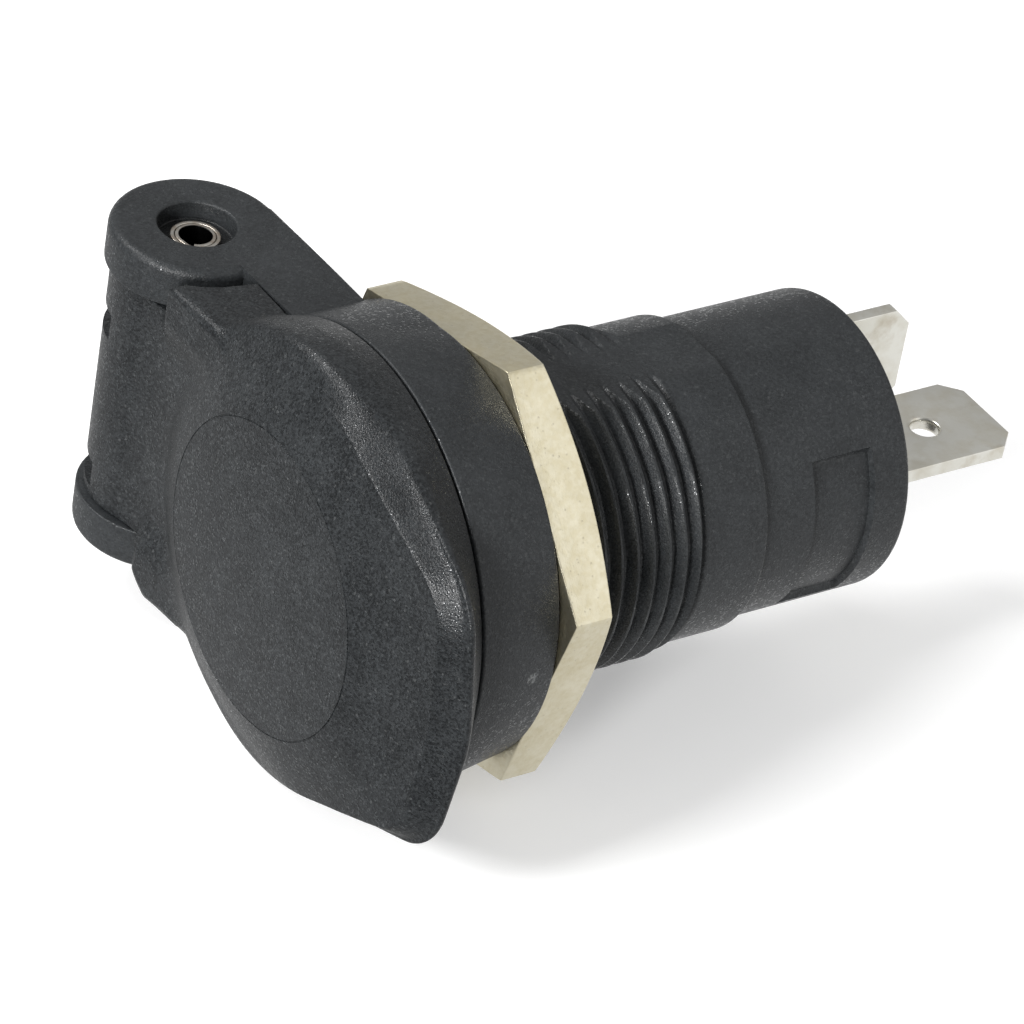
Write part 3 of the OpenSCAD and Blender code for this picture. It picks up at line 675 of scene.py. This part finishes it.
def lidCover(size):
    # radial profiles round the socket axis: crown, ring, slope, shoulder, lip, undercut and hollow
    disc = size["circles"][0][2]
    plateStart = math.degrees(math.acos(-math.sqrt(disc ** 2 - size["plateHalf"] ** 2) / disc))
    plateCorner = 180 - math.degrees(math.atan2(size["plateHalf"], size["plateEnd"]))
    webStart, webCorner = (180 - math.degrees(math.atan2(size["webHalf"], size[key]))
                           for key in ("plateEnd", "webEnd"))
    marks = (plateStart, plateCorner, webStart, webCorner)
    angle = bearings(size["steps"], *[side * mark for mark in marks for side in (-1, 1)])
    degrees = np.abs(np.degrees(angle))
    cosine, sine = np.cos(angle), np.abs(np.sin(angle))
    backward, sideways = np.maximum(-cosine, 1e-3), np.maximum(sine, 1e-3)
    hull = hullRadius(size["circles"], angle)
    cornerCut = np.where(angle < 0, size["cornerCut"][1], size["cornerCut"][0])
    corner = (size["plateHalf"] + size["plateEnd"]) * math.sqrt(0.5) - cornerCut
    plate = np.minimum(np.minimum(size["plateHalf"] / sideways, size["plateEnd"] / backward),
                       corner / np.maximum(np.cos(np.radians(degrees - 135)), 0.05))
    web = np.minimum(size["webHalf"] / sideways, size["webEnd"] / backward)
    outline = np.where(cosine < 0, np.maximum.reduce([hull, plate, web]), hull)
    onPlate = smoothStep(degrees, *(plateStart + d for d in size["plateFade"]))
    onTab = 1 - smoothStep(degrees, *size["tabFade"])
    bevelRound = np.interp(degrees, size["bevelRound"][0], size["bevelRound"][1])

    def blend(key):  # from the round side's value to the tab's
        return size[key][0] + (size[key][1] - size[key][0]) * onTab

    def along(key, column):  # a table's value at each angle, evened out over 14 degrees
        table = np.array(size[key], float)
        return np.mean([np.interp(np.abs(degrees + d), table[:, 0], table[:, column])
                        for d in np.linspace(-7, 7, 9)], axis=0)

    shoulderIn, shoulderHeight = along("ridge", 1), along("ridge", 2)
    bend = size["roundBend"] * (1 - onTab) + size["tabBend"] * onTab

    def top(rho):
        t = (rho - size["ring"]) / (hull - shoulderIn - size["ring"])
        fall = np.clip(t, 0, 1.4) * (1 - bend) + bend * np.clip(t, 0, 1.4) ** 2
        dome = size["ringHeight"] - (size["ringHeight"] - shoulderHeight) * fall
        x, z = rho * cosine, rho * sine
        beyond = np.maximum(-x - size["plateEnd"], 0)
        side = size["plateHeight"] - size["plateSlope"] * np.maximum(x + size["plateEnd"], 0)
        middle = size["valley"] + size["valleyBend"] * np.minimum(x + size["valleyX"], 0) ** 2
        nearEar = smoothStep(z, *size["shoulderZ"]) * (1 - smoothStep(beyond, 0.0, 1.0))
        flat = middle + (side - middle) * nearEar
        foot = size["joinSoft"] + size["earJoinSoft"] * nearEar
        joined = 0.5 * (dome + flat + np.sqrt((dome - flat) ** 2 + foot))
        weight = smoothStep(t, 0.0, 0.5) * smoothStep(
            degrees, plateStart - size["weightFade"], plateStart)
        return dome + weight * (joined - dome)

    def rear(rho):  # clear of the ears beside the web, clear of the spring's chamber in it
        across = rho * cosine - hingeSize["x"]
        arc = -hingeSize["y"] + np.sqrt(np.maximum(size["earClear"] ** 2 - across ** 2, 0))
        beside = np.where(across < size["earClear"], np.maximum(arc, size["seam"]), size["seam"])
        inside = np.where(across < size["webReach"], size["webRear"], size["seam"])
        return np.where(rho * sine > size["webHalf"] + 0.005, beside, inside)

    def circle(rho, height):
        return np.full_like(angle, rho), np.full_like(angle, height)

    crownRho = np.linspace(0, size["ring"] - size["grooveHalf"], size["crownSteps"])
    crownRows = [circle(r, size["ringHeight"] + size["crown"] * (1 - (r / size["ring"]) ** 2))
                 for r in crownRho]
    low = size["ringHeight"] - size["grooveDepth"]
    grooveRows = [circle(size["ring"] + side * 0.5 * size["grooveHalf"], low) for side in (-1, 1)]
    edgeHeight = top(outline)
    rearEdge = rear(outline)
    soft = size["edgeSoft"] + (size["plateSoft"] - size["edgeSoft"]) * smoothStep(
        degrees, plateCorner - 6, plateCorner + 2)
    onWeb = outline > size["plateEnd"] / backward + 0.01
    atEar = size["webHalf"] / sideways < size["webEnd"] / backward
    soft = np.where(onWeb, np.where(atEar, size["earSoft"], size["edgeSoft"]), soft)
    soft = np.minimum(soft, 0.8 * (edgeHeight - rearEdge))

    def between(atRound, atPlate):
        return atRound * (1 - onPlate) + atPlate * onPlate

    slopeEnd = outline - between(shoulderIn, soft)
    slopeStart = size["ring"] + size["grooveHalf"]
    slopeRows = []
    for t in np.linspace(0, 1, size["slopeSteps"])[:-1]:
        rho = slopeStart + (slopeEnd - slopeStart) * t
        slopeRows.append((rho, top(rho)))
    lipTop = between(blend("lipTop"), edgeHeight - soft)
    nearRidge = slopeStart + (slopeEnd - slopeStart) * 0.97
    foot = between(size["foot"], outline)
    inFromFoot = 0.5 * (foot + size["seal"])
    rim = [(nearRidge, top(nearRidge)),
           (slopeEnd, top(slopeEnd)),
           (outline - between(along("bevel", 1), 0.22 * soft),
            between(along("bevel", 2), edgeHeight - 0.22 * soft)),
           (outline, lipTop),
           (outline, between(blend("lipLow"), rearEdge + 0.4 * (lipTop - rearEdge))),
           (foot, rearEdge),
           (inFromFoot, rear(inFromFoot))]
    rimRows = softCorners(rim, [0, between(blend("ridgeRound"), size["plateRound"]),
                                between(bevelRound, 0.35), size["lipRound"], size["lipRound"],
                                size["footRound"], 0], 6)
    under = [circle(rho, height) for rho, height in (
        (size["seal"] + 0.3, size["seam"]), (size["seal"], size["seam"]),
        (size["seal"], size["sealDeep"]), (size["hollow"], size["sealDeep"]),
        (size["hollow"], size["hollowHeight"] - size["hollowChamfer"]),
        (size["hollow"] - size["hollowChamfer"], size["hollowHeight"]),
        (0.0, size["hollowHeight"]))]
    rows = crownRows + grooveRows + slopeRows
    rho, height = (np.vstack([[row[i] for row in rows], rimRows[i], [row[i] for row in under]])
                   for i in (0, 1))
    return roundSocket(rho, height, angle, -1)


def lidKnuckle(size):
    # barrel about the pin with a web to the plate; windows and the spring's slot are let in
    webEnd = math.degrees(math.atan2(size["web"][4][1], size["web"][4][0]))
    angle = bearings(size["steps"], webEnd, size["windowLow"], size["windowHigh"],
                     size["slotLow"], size["slotHigh"])
    degrees = np.degrees(angle) % 360
    web = np.where((degrees < webEnd) | (degrees > 270), starRadius(size["web"], angle), 0.0)
    outline = np.maximum(web, size["radius"])
    edges = [z + side * 0.02 for window in size["windows"] for z in window for side in (-1, 1)]
    even = np.linspace(-size["half"] + 0.2, size["half"] - 0.2, size["stepsAlong"])
    z = np.unique(np.round(np.concatenate([even, edges]), 4))
    inWindow = (degrees > size["windowLow"]) & (degrees < size["windowHigh"])
    inSlot = (degrees > size["slotLow"]) & (degrees < size["slotHigh"])
    isOpen = np.zeros((len(z), len(angle)), bool)
    for low, high in size["windows"]:
        isOpen |= ((z > low) & (z < high))[:, None] & inWindow[None, :]
    isOpen |= ((z > size["slot"][0]) & (z < size["slot"][1]))[:, None] & inSlot[None, :]
    wall = np.where(isOpen, size["bore"] + size["boreSkin"], outline[None, :])
    endLow = softCorners([(size["bore"], -size["half"]), (outline, -size["half"]),
                          (outline, -size["half"] + 0.4)], [0, size["endRound"], 0])
    endHigh = softCorners([(outline, size["half"] - 0.4), (outline, size["half"]),
                           (size["bore"], size["half"])], [0, size["endRound"], 0])
    keep = np.abs(z) < size["half"] - 0.45
    rho = np.vstack([endLow[0], wall[keep], endHigh[0]])
    height = np.vstack([endLow[1], np.broadcast_to(z[keep][:, None], wall[keep].shape), endHigh[1]])
    return roundHinge(rho, height, angle)


makePiece("lidMoulding", [(lidCover(lidSize), False, True), (lidKnuckle(knuckleSize), True, True)],
          lidPlastic, "lid", ["lid"], 50)

# nut
nutSize = {"steps": 240, "stepsAlong": 30,
           "acrossFlats": 23.0, "thick": 2.9, "corner": 73.4,  # degrees of one corner
           "chamferIn": 11.3, "chamferDrop": 0.71, "cornerTurned": 13.24,
           "clear": 0.05, "boreChamfer": 0.25, "boreRelief": 0.15}


def hexNut(size):
    # hexagon cut by a cone at the rear; the bore follows the housing's thread
    angle = bearings(size["steps"], *[size["corner"] + 60 * i for i in range(6)])
    offset = (np.degrees(angle) - size["corner"]) % 60 - 30
    outline = np.minimum(0.5 * size["acrossFlats"] / np.cos(np.radians(offset)),
                         size["cornerTurned"])
    cornerRadius = 0.5 * size["acrossFlats"] / math.cos(math.radians(30))
    cone = size["thick"] - size["chamferDrop"] * (outline - size["chamferIn"]) / (
        cornerRadius - size["chamferIn"])
    boreY = np.linspace(size["thick"] - size["boreChamfer"], size["boreChamfer"],
                        size["stepsAlong"])
    bore = threadRadius(angle[None, :], boreY[:, None], dict(housingSize, threadRelief=0.0),
                        size["clear"])
    crest = housingSize["threadRadius"] + size["boreRelief"]
    outer = softCorners([(crest, 0.02), (outline, 0.02), (outline, cone),
                         (size["chamferIn"], size["thick"]), (crest, size["thick"])],
                        [0, 0.08, 0.08, 0.1, 0], 4)
    rho = np.vstack([outer[0], bore])
    height = np.vstack([outer[1], np.broadcast_to(boreY[:, None], bore.shape)])
    return roundSocket(rho, height, angle)


makePiece("hexNut", [(hexNut(nutSize), True, True)],
          nutNickel, "socket", ["panel_nut"], 25)

# blades
bladeSize = {"steps": 144,
             "width": 6.3, "thick": 0.8, "chamfer": 1.05, "hole": 0.80, "holeFromTip": 4.2,
             "holeRound": 0.22, "edgeRound": 0.07,
             # root, tip, middle as x and z, direction across and direction it faces
             "centre": (21.0, 34.7, (1.9, 0.0), (1, 0, 0), (0, 0, 1)),
             "ground": (18.9, 33.9, (-5.2, 0.0), (0, 0, 1), (1, 0, 0))}


def blade(size, root, tip, middle, across, face):
    # strip with two cut corners, drawn as rays from its catch hole
    half, front, back = 0.5 * size["width"], size["holeFromTip"], root - tip + size["holeFromTip"]
    cut = size["chamfer"]
    corners = [(half, back), (half, front - cut), (half - cut, front), (-half + cut, front),
               (-half, front - cut), (-half, back)]
    angle = bearings(size["steps"], *[math.degrees(math.atan2(y, x)) for x, y in corners])
    outline = starRadius(corners, angle)
    t, hole = 0.5 * size["thick"], size["hole"]
    radius, height = softCorners([(hole, -t), (outline, -t), (outline, t), (hole, t)],
                                 [size[key + "Round"] for key in ("hole", "edge", "edge", "hole")])
    return roundAxis(radius, height, angle, (middle[0], tip - size["holeFromTip"], middle[1]),
                     across, (0, 1, 0), face)


makePiece("centreBlade", [(blade(bladeSize, *bladeSize["centre"]), True, True)],
          bladeTin, "socket", ["centre_blade"])
makePiece("groundBlade", [(blade(bladeSize, *bladeSize["ground"]), True, True)],
          bladeTin, "socket", ["ground_blade"])

# pin and springs
pinSize = {"steps": 150,
           "half": 9.0, "layer": 0.11, "inner": 0.99, "step": 0.25, "endRound": 0.06,
           "seam": -0.6, "stepBend": (-0.75, 0.1), "endGap": 0.15}  # radians
springSize = {"steps": 420, "radius": 1.75, "wire": 0.2, "from": -5.5, "to": 3.4, "turns": 9.5}


def rolledPin(size):
    # strip rolled twice: its middle radius grows by one step halfway round the roll
    roll = np.linspace(0, 4 * np.pi - size["endGap"], size["steps"])
    middle = size["inner"] + size["step"] * smoothStep(
        roll, *(2 * np.pi + bend for bend in size["stepBend"]))
    radius, height = softCorners(
        [(middle - size["layer"], -size["half"]), (middle + size["layer"], -size["half"]),
         (middle + size["layer"], size["half"]), (middle - size["layer"], size["half"])],
        [size["endRound"]] * 4, 3)
    return closedEnds(roundHinge(radius, height, roll + size["seam"]))


def coilSpring(size):
    # helix about the pin: close end turns and an even pitch between them
    turn = np.linspace(0, 2 * np.pi * size["turns"], size["steps"])
    lift = size["from"] + (size["to"] - size["from"]) * turn / turn[-1]
    path = np.stack([hingeSize["x"] + size["radius"] * np.cos(turn),
                     hingeSize["y"] + size["radius"] * np.sin(turn), lift], axis=1)
    return closedEnds(sweep(path, size["wire"]))


makePiece("rolledPin", rolledPin(pinSize), pinSteel, "socket", ["hinge_pin"])
makePiece("torsionSpring", coilSpring(springSize),
          springSteel, "socket", ["lid_spring"])

# finishes of the pieces inside
carriedOver = {
    "lid_seal": rubber, "contact_sleeve": sleeveTin, "clamp_ring": springSteel,
    "ground_rivet": sleeveTin, "contact_carrier": phenolic, "contact_bush": brass,
    "centre_contact": sleeveTin, "contact_spring": springSteel, "blade_rivet": brass,
    "rear_cap": housingPlastic,
}
for nodeName, material in carriedOver.items():
    for place in nodes[nodeName].material_slots:
        place.material = material
print("finishes given to", len(carriedOver), "pieces")

# floor and light
stageLook = {
    "floorSize": 4.0, "floorColour": 0.80,
    # the floor glows for the camera only; the glow is weaker near the part, which darkens the
    # shadow there: painted shade
    "floorGlow": (0.05, 0.30, 0.28, 0.70),  # from and to in metres out, level near and far
    # for mirrors the floor is a glowing sheet, dim in front, dimmer at the front right and bright
    # behind: painted reflection
    "floorMirrored": (-0.09, 0.05, 0.22, 1.0),  # from and to in metres, level before and after
    "floorRight": (-0.004, 0.016, 0.0, 0.8),  # the same for what is taken off at the front right
    "floorFront": (-0.02, 0.01, 1.0, 0.0),  # the same for where the front ends
    "worldDiffuse": 0.48,
    "worldMirrored": (0.22, 0.16, 0.20, 0.74),  # in front, added at the rear, above and right of it
    # where each of those begins and is full, as a part of the heading
    "worldRear": (-0.2, 0.5), "worldAbove": (0.30, 0.75), "worldRight": (0.0, 0.5),
    "lamps": [  # name, place and aim in mm, size in mm, watts
        ("overhead", (-215, -170, 320), (0, 5, 0), 120, 0.95),
        ("front", (57, -360, 228), (0, 0, 0), 80, 1.55),
        ("side", (237, -335, 120), (0, 0, 0), 80, 1.45),
    ],
}
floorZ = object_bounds()[0][2]
floorMesh = bpy.data.meshes.new("floor")
half = 0.5 * stageLook["floorSize"]
floorMesh.from_pydata([(-half, -half, floorZ), (half, -half, floorZ), (half, half, floorZ),
                       (-half, half, floorZ)], [], [(0, 1, 2, 3)])
floor = bpy.data.objects.new("floor", floorMesh)
bpy.context.scene.collection.objects.link(floor)
floorMaterial = bpy.data.materials.new("white floor")
graph = Graph(floorMaterial, "Material")
forCamera, forGlossy = graph.rays()
place = graph.node("NewGeometry", {}, {}, "Position")
placeX, placeY = (graph.node("SeparateXYZ", {}, {0: place}, axis) for axis in "XY")
matt = graph.node("BsdfDiffuse", {}, {"Color": tone(*[stageLook["floorColour"]] * 3)})
out = graph.node("VectorMath", {"operation": "LENGTH"}, {0: place}, "Value")
# painted light: the floor glows for the camera, less near the part
glow = forCamera * graph.step(out, *stageLook["floorGlow"])
glow = graph.node("Emission", {}, {"Strength": glow})
plain = graph.node("AddShader", {}, {0: matt, 1: glow})
# painted reflection: what mirrors see of the floor is an emission set by place
inFront = graph.step(placeY, *stageLook["floorFront"])
inFront = inFront * graph.step(placeX, *stageLook["floorRight"])
seen = graph.step(placeY, *stageLook["floorMirrored"]) * (1.0 - inFront)
mirrored = graph.node("Emission", {}, {"Strength": seen})
graph.feed(graph.output, {0: graph.node("MixShader", {}, {0: forGlossy, 1: plain, 2: mirrored})})
floorMesh.materials.append(floorMaterial)

# the world a mirror sees is brighter towards the rear and above than in front of the lid
world = bpy.data.worlds.new("white surroundings")
bpy.context.scene.world = world
graph = Graph(world, "World")
forCamera, forGlossy = graph.rays()
heading = graph.node("TexCoord", {}, {}, "Generated")
toRear, toTop, toRight = (
    graph.step(graph.node("SeparateXYZ", {}, {0: heading}, axis), *stageLook[key])
    for axis, key in (("Y", "worldRear"), ("Z", "worldAbove"), ("X", "worldRight")))
front, rear, above, right = stageLook["worldMirrored"]
mirrored = toRear * (toTop * above + toRight * right + rear) + front
level = graph.node("Mix", {}, {0: forGlossy, 2: stageLook["worldDiffuse"], 3: mirrored})
level = graph.node("Mix", {}, {0: forCamera, 2: level, 3: 1.0})
level = graph.node("Background", {}, {"Color": tone(1, 1, 1), "Strength": level})
graph.feed(graph.output, {0: level})

for name, place, aim, size, watts in stageLook["lamps"]:
    data = bpy.data.lights.new(name, "AREA")
    data.shape = "SQUARE"
    data.size = size * mm
    data.energy = watts
    lamp = bpy.data.objects.new(name, data)
    bpy.context.scene.collection.objects.link(lamp)
    back = np.array(place, float) - np.array(aim, float)
    back /= np.linalg.norm(back)
    right = np.cross((0, 0, 1), back)
    right /= np.linalg.norm(right)
    up = np.cross(back, right)
    lamp.matrix_world = (Matrix.Translation([value * mm for value in place])
                         @ Matrix(np.stack([right, up, back], axis=1).tolist()).to_4x4())
print("floor and lamps set")

bpy.context.scene.view_settings.view_transform = "Standard"
